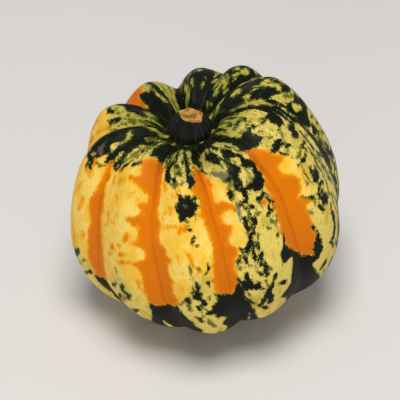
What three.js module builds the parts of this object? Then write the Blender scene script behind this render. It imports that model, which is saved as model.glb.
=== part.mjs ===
// A Carnival acorn squash, as picked and set down: a round fruit of ten ribs, with a short stub of
// stem in the hollow at its top. It leans a little to one side and rests on a small flat spot.
// Millimetres and degrees, +Z up. The origin is on the ground under the middle, and -Y is the front.
import * as THREE from "three";

const { degToRad, lerp, smoothstep } = THREE.MathUtils;

// ---- The fruit ----

// The stem end leans this far towards -X.
const LEAN = 9.5;

// How far the skin is from the fruit's middle along the crown of a plain rib, and how deep a plain
// furrow is cut below it, every MERIDIAN_STEP degrees from the stem end to the blossom end.
const MERIDIAN_STEP = 15;
const CROWN = [35, 39.5, 51, 57, 58, 58.5, 61, 66, 72, 75, 74.5, 74.5, 75];
const FURROW_DEPTH = [0, 6, 5.5, 4.5, 4, 4, 4.5, 5, 5, 3.5, 2, 1, 0];

// The ten ribs, anticlockwise from above. Each starts at its own furrow and ends at the next one's.
// furrow: where that furrow crosses the equator, 270 being the front and 180 the left side
// slant: how far the furrow drifts from there by the stem end, and the other way by the blossom end
// depth: its depth as a share of a plain furrow's
// reach: the share by which the rib bulges past a plain one at the equator
// shoulder: the same at the shoulder, where the rib turns over into the hollow
const RIBS = [
  { furrow: 174, slant: 1.5, depth: 1.15, reach: 0.08, shoulder: -0.005 },
  { furrow: 212, slant: -2.5, depth: 0.85, reach: -0.02, shoulder: 0.015 },
  { furrow: 248, slant: -3, depth: 0.85, reach: -0.04, shoulder: -0.02 },
  { furrow: 282.5, slant: -0.5, depth: 1.1, reach: -0.065, shoulder: -0.01 },
  { furrow: 319.5, slant: 3, depth: 0.9, reach: -0.02, shoulder: -0.02 },
  { furrow: 366, slant: 2, depth: 0.75, reach: 0.07, shoulder: 0 },
  { furrow: 396.5, slant: -0.5, depth: 1.2, reach: 0.02, shoulder: 0.015 },
  { furrow: 424, slant: -0.5, depth: 1.1, reach: -0.01, shoulder: -0.03 },
  { furrow: 461, slant: 0.5, depth: 1.4, reach: -0.035, shoulder: -0.06 },
  { furrow: 502, slant: 0.5, depth: 1.05, reach: 0.01, shoulder: 0.005 },
];
const SHOULDER_LATITUDE = 52;
const SHOULDER_SPREAD = 24;

// A rib's section: a roundness of 1 would give it straight flanks, and 2 an even round back. The
// softness rounds the bottom of each furrow, as a share of half a rib's width.
const RIB_ROUNDNESS = 1.8;
const FURROW_SOFTNESS = 0.12;

// The level seat at the bottom of the hollow, which the stem grows from.
const SEAT_HEIGHT = 35; // above the fruit's middle
const SEAT_RADIUS = 11;
const SEAT_EDGE_RADIUS = 16; // where the seat has run out into the ribs

// The flat spot is pressed this far into the lowest part of the skin.
const FLAT_SPOT_DEPTH = 2;

// The mesh's columns across a rib, and its rings from the stem end to the blossom end.
const COLUMNS_PER_RIB = 10;
const RINGS = 44;

// ---- The stem ----

const STEM_HEIGHT = 11;
const STEM_BASE_RADIUS = 10;
const STEM_TOP_RADIUS = 5.6;
const STEM_SWELL = 1.6; // 1 would make it a straight cone, and more keeps it full near its foot
const STEM_RIDGES = 5;
const STEM_RIDGE_TURN = 9; // where the first ridge stands, anticlockwise from +X
const STEM_BASE_RIDGE = 0.03; // how far a ridge stands out, as a share of the radius there
const STEM_TOP_RIDGE = 0.14;
const STEM_GAP = 0.3; // between the stem's foot and its seat

// The value at a latitude, on a smooth curve through values that stand MERIDIAN_STEP apart. The
// curve is level at both ends, so that the skin has no point there.
function alongMeridian(values, latitude) {
  const last = values.length - 1;
  const place = (90 - latitude) / MERIDIAN_STEP;
  const start = Math.min(Math.floor(place), last - 1);
  const t = place - start;
  const valueAt = (i) => values[i > last ? 2 * last - i : Math.abs(i)];
  const [before, from, to, after] = [-1, 0, 1, 2].map((i) => valueAt(start + i));
  const linear = to - before;
  const square = 2 * before - 5 * from + 4 * to - after;
  const cube = 3 * (from - to) + after - before;
  return from + (t * (linear + t * (square + t * cube))) / 2;
}

// How high a rib stands over its furrows, from 0 in a furrow to 1 on its crown. across runs from -1
// at the furrow where the rib starts to 1 at the furrow where it ends.
function ribHeight(across) {
  const soften = (share) => Math.hypot(share, FURROW_SOFTNESS) - FURROW_SOFTNESS;
  const inwards = soften(1 - Math.abs(across)) / soften(1);
  return 1 - (1 - inwards) ** RIB_ROUNDNESS;
}

// The nth rib, counted round as many times as n asks for.
function rib(n) {
  return RIBS[(n + RIBS.length) % RIBS.length];
}

// The longitude of the nth rib's furrow at a latitude.
function furrowLongitude(n, latitude) {
  const turns = Math.floor(n / RIBS.length);
  return rib(n).furrow + 360 * turns + rib(n).slant * Math.sin(degToRad(latitude));
}

// The share by which the nth rib bulges past a plain one at a latitude.
function bulge(n, latitude) {
  const { reach, shoulder } = rib(n);
  const offShoulder = (latitude - SHOULDER_LATITUDE) / SHOULDER_SPREAD;
  return reach * Math.cos(degToRad(latitude)) + shoulder * Math.exp(-(offShoulder ** 2));
}

// The skin's place at a latitude, counted round in ribs: 2.5 is the crown of the third rib.
function skinPoint(ribsRound, latitude) {
  const n = Math.min(Math.floor(ribsRound), RIBS.length - 1);
  const share = ribsRound - n;
  const startBulge = (bulge(n - 1, latitude) + bulge(n, latitude)) / 2;
  const endBulge = (bulge(n, latitude) + bulge(n + 1, latitude)) / 2;
  const depthShare = lerp(rib(n).depth, rib(n + 1).depth, share);
  const plainCrown = alongMeridian(CROWN, latitude);
  const plainFurrow = plainCrown - alongMeridian(FURROW_DEPTH, latitude) * depthShare;
  const crown = plainCrown * (1 + bulge(n, latitude));
  const furrow = plainFurrow * (1 + lerp(startBulge, endBulge, share));
  const distance = lerp(furrow, crown, ribHeight(2 * share - 1));

  const longitude = lerp(furrowLongitude(n, latitude), furrowLongitude(n + 1, latitude), share);
  const radius = distance * Math.cos(degToRad(latitude));
  const height = distance * Math.sin(degToRad(latitude));
  const seated = latitude > 0 ? 1 - smoothstep(radius, SEAT_RADIUS, SEAT_EDGE_RADIUS) : 0;
  return new THREE.Vector3(
    radius * Math.cos(degToRad(longitude)),
    radius * Math.sin(degToRad(longitude)),
    lerp(height, SEAT_HEIGHT, seated),
  );
}

// A closed surface that keeps only its places, so that its seams close up.
function placesOnly(geometry) {
  geometry.deleteAttribute("normal");
  geometry.deleteAttribute("uv");
  return geometry;
}

// A sphere whose ten equal lunes become the ten ribs, pressed flat where it rests.
function fruitGeometry() {
  const geometry = new THREE.SphereGeometry(1, RIBS.length * COLUMNS_PER_RIB, RINGS);
  const { position, uv } = geometry.attributes;
  const places = [];
  for (let i = 0; i < position.count; i++) {
    places.push(skinPoint(uv.getX(i) * RIBS.length, lerp(-90, 90, uv.getY(i))));
  }
  const up = new THREE.Vector3(Math.sin(degToRad(LEAN)), 0, Math.cos(degToRad(LEAN)));
  const ground = Math.min(...places.map((place) => place.dot(up))) + FLAT_SPOT_DEPTH;
  places.forEach((place, i) => {
    place.addScaledVector(up, Math.max(0, ground - place.dot(up)));
    position.setXYZ(i, place.x, place.y, place.z);
  });
  return placesOnly(geometry);
}

// A swollen stub, wider at its foot, whose ridges grow from the foot to the broken top.
function stemGeometry() {
  const geometry = new THREE.CylinderGeometry(1, 1, 1, 8 * STEM_RIDGES, 8);
  geometry.rotateX(Math.PI / 2).translate(0, 0, 0.5);
  const { position } = geometry.attributes;
  for (let i = 0; i < position.count; i++) {
    const [x, y, up] = [position.getX(i), position.getY(i), position.getZ(i)];
    const turn = Math.atan2(y, x) - degToRad(STEM_RIDGE_TURN);
    const ridge = lerp(STEM_BASE_RIDGE, STEM_TOP_RIDGE, up) * Math.cos(STEM_RIDGES * turn);
    const girth = lerp(STEM_BASE_RADIUS, STEM_TOP_RADIUS, up ** STEM_SWELL) * (1 + ridge);
    position.setXYZ(i, x * girth, y * girth, up * STEM_HEIGHT);
  }
  return placesOnly(geometry);
}

const rindFinish = new THREE.MeshStandardMaterial({ color: 0x8c8a35, roughness: 0.45, metalness: 0 });
const stemFinish = new THREE.MeshStandardMaterial({ color: 0x2b2c22, roughness: 0.8, metalness: 0 });

const fruit = new THREE.Mesh(fruitGeometry(), rindFinish);
fruit.name = "squash_body";

const stem = new THREE.Mesh(stemGeometry(), stemFinish);
stem.name = "stem";
stem.position.z = SEAT_HEIGHT + STEM_GAP;

const leaning = new THREE.Group();
leaning.add(fruit, stem);
leaning.rotation.y = -degToRad(LEAN);

// Set down so that the flat spot is on the ground and the middle is over the origin.
const squash = new THREE.Group();
squash.add(leaning);
const extent = new THREE.Box3().setFromObject(squash, true);
const middle = extent.getCenter(new THREE.Vector3());
leaning.position.set(-middle.x, -middle.y, -extent.min.z);

export default squash;
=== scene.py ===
"""A Carnival acorn squash on a pale floor: ten ribs, mottled green, cream and orange, with a stub of stem.

The skin's shape is worked out on a sphere from much the same measures as the solid model's. Its colours
are laid on as brush strokes and patches, which are kept at each vertex as depths in
millimetres, and the material breaks their edges up with noise.
"""

import math
import random

import bpy
import numpy as np
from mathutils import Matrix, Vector, noise


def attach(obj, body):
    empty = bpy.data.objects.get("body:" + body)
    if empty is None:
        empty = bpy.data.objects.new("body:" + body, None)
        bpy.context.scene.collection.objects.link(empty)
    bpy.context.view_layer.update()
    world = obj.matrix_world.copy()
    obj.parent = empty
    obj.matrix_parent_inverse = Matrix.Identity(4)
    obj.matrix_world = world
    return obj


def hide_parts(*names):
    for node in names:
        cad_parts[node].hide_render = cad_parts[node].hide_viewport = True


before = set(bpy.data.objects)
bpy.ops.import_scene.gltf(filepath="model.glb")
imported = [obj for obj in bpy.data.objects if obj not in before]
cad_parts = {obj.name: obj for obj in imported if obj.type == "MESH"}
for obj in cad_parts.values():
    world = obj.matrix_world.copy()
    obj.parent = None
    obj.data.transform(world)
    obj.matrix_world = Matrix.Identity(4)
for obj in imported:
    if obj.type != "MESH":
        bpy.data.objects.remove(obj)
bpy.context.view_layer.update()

MM = 0.001
MIDDLE = np.array([-2.2, -0.8, 73.7]) * MM  # the fruit's middle, which it leans about

# ---- The fruit's shape, in millimetres and degrees, before it leans ----

LEAN = 9.5  # the stem end leans this far towards -X

# Distance of a plain rib's crown from the fruit's middle, and the depth of a plain furrow below it,
# every MERIDIAN_STEP degrees from the stem end to the blossom end.
MERIDIAN_STEP = 15
CROWN = [35, 39.5, 51, 57, 58, 58.5, 61, 66, 72, 75, 74.5, 74.5, 75]
FURROW_DEPTH = [0, 6, 7, 6, 4.6, 4, 4.5, 5, 5, 3.5, 2, 1, 0]

# The ten ribs, anticlockwise from above. Of each: where its furrow crosses the equator, how far that
# furrow drifts by the stem end, its depth as a share of a plain one's, and the shares by which the
# rib bulges at the equator and at the shoulder.
RIBS = np.array([
    (174, 1.5, 1.3, 0.08, 0.005),
    (212, -2.5, 0.95, -0.035, 0.015),
    (248, -3, 0.85, -0.04, -0.02),
    (282.5, -0.5, 1.1, -0.065, -0.01),
    (319.5, 3, 0.9, 0.01, -0.02),
    (366, 2, 0.7, 0.07, 0.085),
    (396.5, -0.5, 1.25, 0, 0.06),
    (425, -0.5, 0.85, 0.01, -0.045),
    (461, 0.5, 1.6, 0, -0.045),
    (502, 0.5, 1.15, 0.01, 0.03),
])
FURROW, SLANT, DEPTH, REACH, SHOULDER = range(5)
SHOULDER_LATITUDE = 52
SHOULDER_SPREAD = 24
RIB_ROUNDNESS = 1.8
FURROW_SOFTNESS = 0.12

SEAT_HEIGHT = 35  # the stem's seat, above the fruit's middle
SEAT_RADIUS = 11
SEAT_EDGE_RADIUS = 16

# The skin's mesh, and the size and height of each layer of its slight unevenness.
COLUMNS = 110
RINGS = 55
CUTS = 3  # between each two of those
SWELLS = ((24, 0.5), (9, 0.18))

GIRTH = 60  # the radius of the cylinder on which the skin's grain is laid out

# ---- The stem, in millimetres and degrees ----

STEM_HEIGHT_ABOVE_MIDDLE = 34.5  # the middle of the stem's foot, a little inside its seat
STEM_SIDES = 120
STEM_CREASE_ANGLE = 50  # edges sharper than this stay sharp

# The stem's rings from its foot up and then in across the break: height and radius.
STEM_RINGS = (
    (-2, 9), (0, 9.7), (0.8, 10.2), (2, 10.4), (3.4, 10.4), (4.8, 10), (6.2, 9.2), (7.6, 8.2),
    (8.8, 7.2), (9.8, 6.4), (10.4, 6), (10.7, 5.7), (10.6, 5.2), (10.4, 4.6), (10.2, 4), (10.1, 3.4),
    (10, 2.8), (9.9, 2.2), (9.8, 1.6), (9.8, 1), (9.8, 0.5),
)
STEM_BREAK_HEIGHT = 10.5  # the stem's skin ends here
STEM_BREAK_RADIUS = 5.9
STEM_BREAK_DIP = 1.2  # how far below that height bare wood may lie

# The broken top's outline, which the stem takes on from STEM_STAR_START up: the direction and distance
# of each corner and hollow.
STEM_STAR = (
    (155, 5.9), (126, 4.6), (97, 4.8), (50, 4), (10, 6.3), (-16, 5.8), (-42, 7.3), (-90, 5), (-132, 4.8),
    (-170, 4.5),
)
STEM_STAR_START = 1

# The splintered wood of the break: how fine its noise is, where that noise is read, and its height.
SPLINTERS_PER_MM = 1.8
SPLINTER_SLICE = 6.3
SPLINTER_HEIGHT = 0.5

FIBRE_GIRTH = 5  # the radius of the cylinder on which the stem's fibres are laid out
AXIS_GAP = 0.01  # keeps a division by the distance from the axis from failing on it

# ---- The marks on the skin ----

# How far from a mark its depth is worked out. Skin further off counts as this deep outside it.
REACH_OF_MARKS = 12

# Turned is cream, a crease is deep orange painted shade along the bottoms of the bands, and a smudge is a
# grey painted sheen. Pale isn't kept as a paint of its own: it clears the dark, olive and orange from the
# rind's own pale yellow, and orange clears them too.
PAINTS = ("turned", "orange", "crease", "amber", "dark", "olive", "smudge", "scar")


def marks(rib, *groups):
    """The marks on a rib, in the order in which they are laid on, from groups that name a paint and then
    give its shapes. A shape is a patch, by the corners of its outline, or a brush stroke, by points
    along it. Each of those is how far across the rib it is, in hundredths of the rib and past 0 or 100
    on its neighbours, its latitude, and on a stroke half its width there, in tenths of a millimetre."""

    def point(across, latitude, *half_width):
        return ((100 * rib + across) / 100, latitude, *(tenths / 10 for tenths in half_width))

    return [(paint, [point(*p) for p in shape]) for paint, *shapes in groups for shape in shapes]


# Each furrow's dark green: half its width in mm every MERIDIAN_STEP degrees down from the first
# latitude. There is none where it is below 0.
FURROW_DARK_TOP = 75
FURROW_DARK = [
    (2.5, 2, 1.5, 0.8, -9, -9, 0, 6, 7, 6, 3),
    (2.5, 1.6, 0.8, -9, -9, -9, -9, 2.5, 6, 5, 3),
    (3, 0.8, -1, -9, -9, -9, -9, 5, 8, 6, 3),
    (3, 0.8, -1, -9, -9, -9, -9, 6.5, 9, 6, 3),
    (3, 1, -2, -9, -9, -9, -9, 6, 8, 6, 3),
    (3, 3, 2.2, 1.8, 1.6, 1.5, 2, 4, 6, 6, 3),
    (3, 3.5, 3, 1.5, 0.8, 1, 2, 4, 6, 6, 3),
    (3, 5, 4, 2, 1, 0.8, 1.5, 4, 6, 6, 3),
    (3, 3, 2.2, 1.2, 0.6, 1, 1.5, 3, 6, 6, 3),
    (3, 5.5, -2, -9, -9, -9, -9, 6, 7, 6, 3),
]

# The parts that have turned from green towards orange, which are cream with soft amber in them.
TURNED = marks(0, (
    "turned",
    [(-52, 44), (-40, 46), (-20, 46), (-10, 43), (0, 34), (20, 33), (40, 36), (55, 36), (70, 40),
     (75, 43.5), (85, 44), (91, 46), (100, 41), (110, 41), (113, 44), (120, 45), (127, 47.5), (135, 48.7),
     (150, 49.3), (156, 52), (166, 55), (190, 56), (200, 53.3), (213, 51.5), (220, 49.5), (225, 47),
     (232, 45.5), (245, 43.5), (260, 44.5), (265, 43), (273, 43), (277, 53), (290, 52.5), (296, 49),
     (307, 46.5), (312, 45), (320, 44), (323, 41), (328, 38), (328, 32), (330, 27), (328, 20), (333, 15),
     (331, 8), (328, 5.5), (320, 4), (315, 0), (310, -3), (307, -9), (295, -20), (277, -12), (277, -5),
     (260, 1), (248, -2), (240, -10), (230, -17), (217, -21), (180, -22), (160, -14), (140, -6), (125, -12),
     (110, -18), (95, -22), (80, -14), (65, -9), (40, -12), (0, -14), (-40, -12), (-80, -8), (-130, 0),
     (-140, 20), (-135, 38), (-110, 50), (-95, 50), (-80, 40)],
    [(400, 49), (410, 46), (417, 42), (423, 38), (429, 35), (434, 31), (440, 27), (441, 20), (437, 12),
     (433, 6), (425, 2), (421, -4), (415, -15), (390, -10), (385, 0), (387, 20), (390, 30), (396, 40)],
))

# The orange bands in the furrows, with ragged sides.
BANDS = marks(0, (
    "orange",
    [(90, 46), (92, 44), (93, 41), (96, 38.5), (98, 36), (98.5, 30), (103, 25), (105, 22), (104, 18),
     (103, 13), (104, 7), (103, 1), (105, -6), (103, -13), (100, -20), (98, -23), (90, -22.5), (86, -21),
     (83, -16), (82, -11), (83, -6), (84, -1), (83, 2), (86, 5), (87, 8), (85, 12), (83, 15), (82, 19),
     (84, 22), (88, 26), (90, 31), (89, 37), (87, 42)],
    [(156, 52), (165, 55), (174, 55.7), (190, 56), (196, 55.3), (202, 52), (203, 49), (206, 46), (210, 43),
     (212, 39), (208, 34), (206, 30), (210, 26), (212, 23), (207, 17), (210, 13), (218, 11), (216, 8),
     (224, 5.5), (217, 3.5), (215, 0), (216, -4), (222, -6), (216, -8.5), (216, -13), (219, -17),
     (216, -20.5), (210, -22.6), (187, -23.2), (180, -22), (177, -19), (176, -12), (177, -6), (174, -3),
     (167, -0.5), (170, 0.7), (180, 2), (185, 4), (186, 8), (183, 10), (174, 10.5), (166, 11), (176, 13),
     (179, 17), (178, 21), (160, 22.5), (158, 23.5), (170, 25.5), (180, 27), (181, 29), (177, 31),
     (178, 32.5), (188, 34), (189, 37), (183, 39), (172, 41), (166, 42.7), (147, 43), (150, 44.3),
     (166, 45), (169, 47), (162, 50)],
    [(278, 52.5), (284, 53), (293, 51), (296, 49), (303, 47.5), (308, 45), (308, 42), (303, 39),
     (305, 36.5), (303, 34), (306, 31.5), (320, 31), (327, 29), (329, 25), (325, 26.5), (315, 27),
     (306, 25), (306, 21), (316, 18.5), (316, 15.5), (309, 13), (307, 8), (316, 5.5), (315, 2), (309, 0),
     (307, -6), (308, -10), (306, -15.5), (302, -18.5), (296, -20.5), (290, -19.5), (283, -17.3),
     (277, -15), (274, -12), (277, -7), (278, -1), (281, 3), (284, 7), (285, 12), (284, 17), (282, 21),
     (278, 22.5), (280, 24), (283, 26), (276, 28), (280, 31), (280, 38), (274, 40.5), (268, 42.5),
     (275, 44.5), (278, 48)],
    [(399, 49), (402, 49.5), (406, 47.5), (411, 46.5), (413, 44), (417, 42), (420, 39), (424, 35.5),
     (430, 33.5), (427, 32.3), (415, 31), (415, 26), (420, 24.5), (426, 22), (428, 19), (425, 15),
     (418, 12), (422, 10), (431, 5.5), (422, 6), (419, 4.5), (421, 2), (420, -3), (419, -6.5), (422, -11),
     (418, -14), (418, -17), (415, -20.5), (409, -19.3), (403, -19), (400, -15), (390, -12), (385, -8.5),
     (381, -5.5), (384, -3), (380, 2), (383, 6), (382, 9.5), (383, 13.5), (379, 17.3), (385, 19), (388, 23),
     (386, 28.5), (393, 31), (396, 35), (392, 38.5), (395, 42), (397, 46)],
    [(899, 56), (890, 54), (885, 51), (882, 48.5), (876, 46.5), (872, 48.5), (866, 45.5), (858, 42),
     (862, 36), (872, 31), (870, 22), (878, 14), (875, 6), (883, -2), (880, -11), (888, -18), (902, -21),
     (912, -17), (915, -8), (910, 1), (917, 9), (912, 18), (920, 27), (914, 36), (918, 44), (910, 51)],
    [(998, 28), (993, 21), (987, 14), (990, 6), (984, -3), (988, -12), (997, -19), (1007, -17), (1012, -9),
     (1008, 0), (1015, 8), (1010, 16), (1006, 25)],
))

# The deeper orange lines along the bottoms of the bands: partly the bands' own deeper orange, partly painted
# shade in the creases, widest near the top.
CREASE_SHADES = marks(0, (
    "crease",
    [(93, 43, 8), (95, 38, 6), (96.5, 32, 4), (96, 20, 5), (96, 0, 6), (93, -18, 4)],
    [(195, 54, 22), (197, 49, 18), (198, 44, 12), (198.5, 38, 8), (197, 25, 4), (197, 8, 4), (198, -10, 6),
     (197, -20, 3)],
    [(290, 51, 16), (292, 46, 11), (295, 40, 8), (296, 33, 6), (295, 25, 4), (297, 8, 3), (296, -8, 3),
     (295, -16, 2)],
    [(399, 48, 16), (400, 43, 16), (400, 36, 13), (401, 30, 8), (402, 18, 6), (400, 2, 6), (400, -14, 4)],
    [(897, 52, 5), (900, 40, 6), (901, 15, 6), (900, -12, 5)], [(1000, 20, 4), (1000, 0, 5), (999, -12, 3)],
))

# The ribs' own marks, anticlockwise from above. Rib A is at the left.
RIB_A = marks(0, (
    "dark",
    [(40, 64), (50, 66), (70, 69), (90, 69), (97, 64), (98, 58), (97, 53), (96, 48), (97, 43), (95, 41),
     (92, 43), (93, 46.5), (90, 50), (86, 50), (87, 44), (82, 40.5), (79, 41.5), (80, 44.5), (76, 45),
     (70, 42), (67, 40.5), (66, 36), (55, 36.5), (46, 36), (42, 38), (40, 41), (38, 45), (36, 50),
     (36, 57)],
    [(64, 35, 9), (67, 34.3, 6)], [(58, 36.5, 8), (60, 33.5, 6)],
    [(69, -10.3, 7), (65, -12.5, 13), (59, -15, 12), (45, -20, 10)],
    [(79, -20.5, 8), (72, -22.5, 7), (65, -24.3, 7)],
    [(83, -21.5), (90, -23), (99, -23.5), (98, -27), (94, -31), (91, -33), (88, -29), (84, -27)],
), (
    "olive",
    [(72, 61, 4), (76, 57.5, 5), (80, 54, 4)], [(45, 47, 4), (44, 52, 6), (46, 58, 5)],
    [(56, 61, 4), (68, 64, 5), (80, 66.5, 4)], [(88, 56, 3), (88, 61, 4), (90, 65, 4)],
    [(30, 46, 8), (42, 44, 10)], [(76, -14, 6), (64, -19, 8)],
), (
    "pale",
    [(56, 60, 4), (61, 58.6, 10), (66, 58, 14), (71, 56.8, 12), (75, 54.7, 9), (75, 52.5, 10),
     (71.5, 50.7, 11), (73, 48.8, 12), (77, 47.2, 8)],
    [(84, 63, 3), (86, 66, 6), (95, 69, 5)], [(37, 51, 2), (35, 55, 5), (35, 60, 5), (37, 65, 3)],
    [(70, 37), (71, 42), (75, 43.8), (80, 42), (84, 40.5), (84, 37)],
    [(86, 62, 3), (88, 64.5, 6), (92, 67, 4)], [(55, 39.5, 5), (60, 40.5, 7)],
), (
    "olive",
    [(36, 46, 5), (33, 52, 7), (33, 57, 6), (38, 62, 5)], [(72, 38.3, 9), (79, 38.3, 8)],
), (
    "orange",
    [(67, 39, 11), (69, 37.5, 12)], [(36, 38.5, 11), (46, 39, 8)],
), (
    "amber",
    [(60, 33, 12), (70, 31, 14), (72, 35.5, 8)], [(62, 24, 9), (56, 18, 11)], [(72, 19, 10), (67, 11, 12)],
    [(78, 0, 12), (74, -3, 10)], [(58, 1, 9), (62, -8, 10)],
), (
    # A grey painted sheen: painted highlights on the skin.
    "smudge",
    [(78, 50, 4), (76, 55, 5), (73, 60, 5), (74, 66, 4)],
), (
    "scar",
    [(69, 42.9, 11), (62, 43.7, 15), (61, 45.6, 10), (58, 47.8, 5), (54, 49.5, 2)],
))

# Rib B, at the front left.
RIB_B = marks(1, (
    "dark",
    [(44, 49.3, 6), (50, 50.3, 9), (55, 51.8, 6)], [(20, 66, 6), (25, 69, 8), (30, 73, 9)],
    [(42, -15.3, 8), (38, -18.3, 11)], [(38, -19.8, 7), (46, -19.5, 12), (53, -18.3, 7)],
    [(50, -19.5, 10), (45, -22.3, 8)], [(27, -17.3, 7), (23, -19.5, 10), (14, -22, 6)],
    [(33, -22, 6), (27, -25, 11), (20, -28, 10)], [(55, -27.3, 6), (49, -29.3, 11), (40, -32, 10)],
    [(77, -21.5), (86, -23.3), (110, -22.6), (117, -20.5), (120, -24), (126, -27.5), (133, -30.5),
     (131, -33), (138, -36), (136, -42), (100, -50), (55, -44), (63, -37), (70, -32), (74, -29), (77, -26)],
), (
    "pale",
    [(6, 43.5), (0, 46.5), (-5, 51), (-7, 54), (-7, 58), (0, 60.5), (20, 62.5), (45, 63), (62, 61.5),
     (68, 58.5), (58, 56), (52, 54), (37, 51.3), (25, 49.5), (20, 46.5), (13, 44)],
    [(83, -35, 9), (82, -39, 14), (84, -46, 10)],
), (
    "dark",
    [(0, 41, 7), (4, 43, 9), (5, 46, 5)], [(17, 43.8, 5), (20, 46, 8), (26, 48.3, 7)],
    [(30, 57, 5), (37, 57.6, 9), (44, 56.5, 6)], [(22, 59, 5), (28, 59.8, 6)], [(45, 61, 5), (50, 63.5, 7)],
    [(10, 61, 3), (17, 64, 6), (25, 67, 6)], [(37, 62, 4), (42, 65.5, 8), (48, 70, 9)],
    [(66, 57), (62, 59.5), (60, 63), (60, 70), (70, 73), (102, 73), (101, 66), (99, 60), (98, 56.5),
     (95, 55), (85, 56.5), (75, 57.5)],
), (
    "olive",
    [(5, 47, 6), (10, 50, 6)], [(10, 53, 6), (20, 52, 7), (30, 53, 6)],
    [(0, 52, 7), (6, 54.5, 9), (2, 57, 6)], [(14, 48.5, 6), (22, 50, 7), (30, 49.8, 6)],
    [(18, 57, 6), (25, 56, 7), (50, 58, 7)], [(12, 55.5, 7), (20, 54.5, 8)], [(35, 54, 7), (42, 53.2, 7)],
    [(38, 59.5, 7), (50, 60, 7)], [(8, 57.5, 6), (15, 60, 7), (20, 63.5, 6)],
    [(48, 59.5, 7), (55, 62, 8), (62, 65, 6)], [(30, 60, 6), (33, 64, 7), (40, 69, 7)],
    [(60, 57, 5), (66, 61, 7), (72, 66, 6)], [(33, -8, 8), (35, -10.5, 9)],
    [(40, -12.3, 5), (35, -13.5, 6)], [(40, -22, 8), (30, -27, 10)],
), (
    "orange",
    [(12, 42.3, 7), (20, 43.3, 8), (26, 44, 5)], [(62, 15.5, 5), (58, 12.5, 12), (55, 11, 7)],
    [(32, 4, 5), (27, 2, 8)], [(53, 3.8, 5), (46, 2, 5)], [(60, 0, 6), (50, -1.5, 7), (43, -3, 7)],
), (
    "amber",
    [(30, 39, 15), (40, 41, 14)], [(10, 38, 10), (16, 36, 8)], [(33, 32, 12), (36, 30.5, 9)],
    [(62, 36.5, 10), (66, 37.5, 6)], [(42, 23, 7), (36, 20, 8), (34, 17, 5)],
    [(20, 21, 6), (23, 16, 8), (14, 12, 8)], [(48, 8, 8), (42, 6, 8)], [(27, -1, 8), (18, -3, 7)],
    [(70, -9, 12), (68, -14, 8)],
), (
    # A grey painted sheen: painted highlights on the skin.
    "smudge",
    [(10, 52, 8), (20, 51.8, 6)],
))

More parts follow.
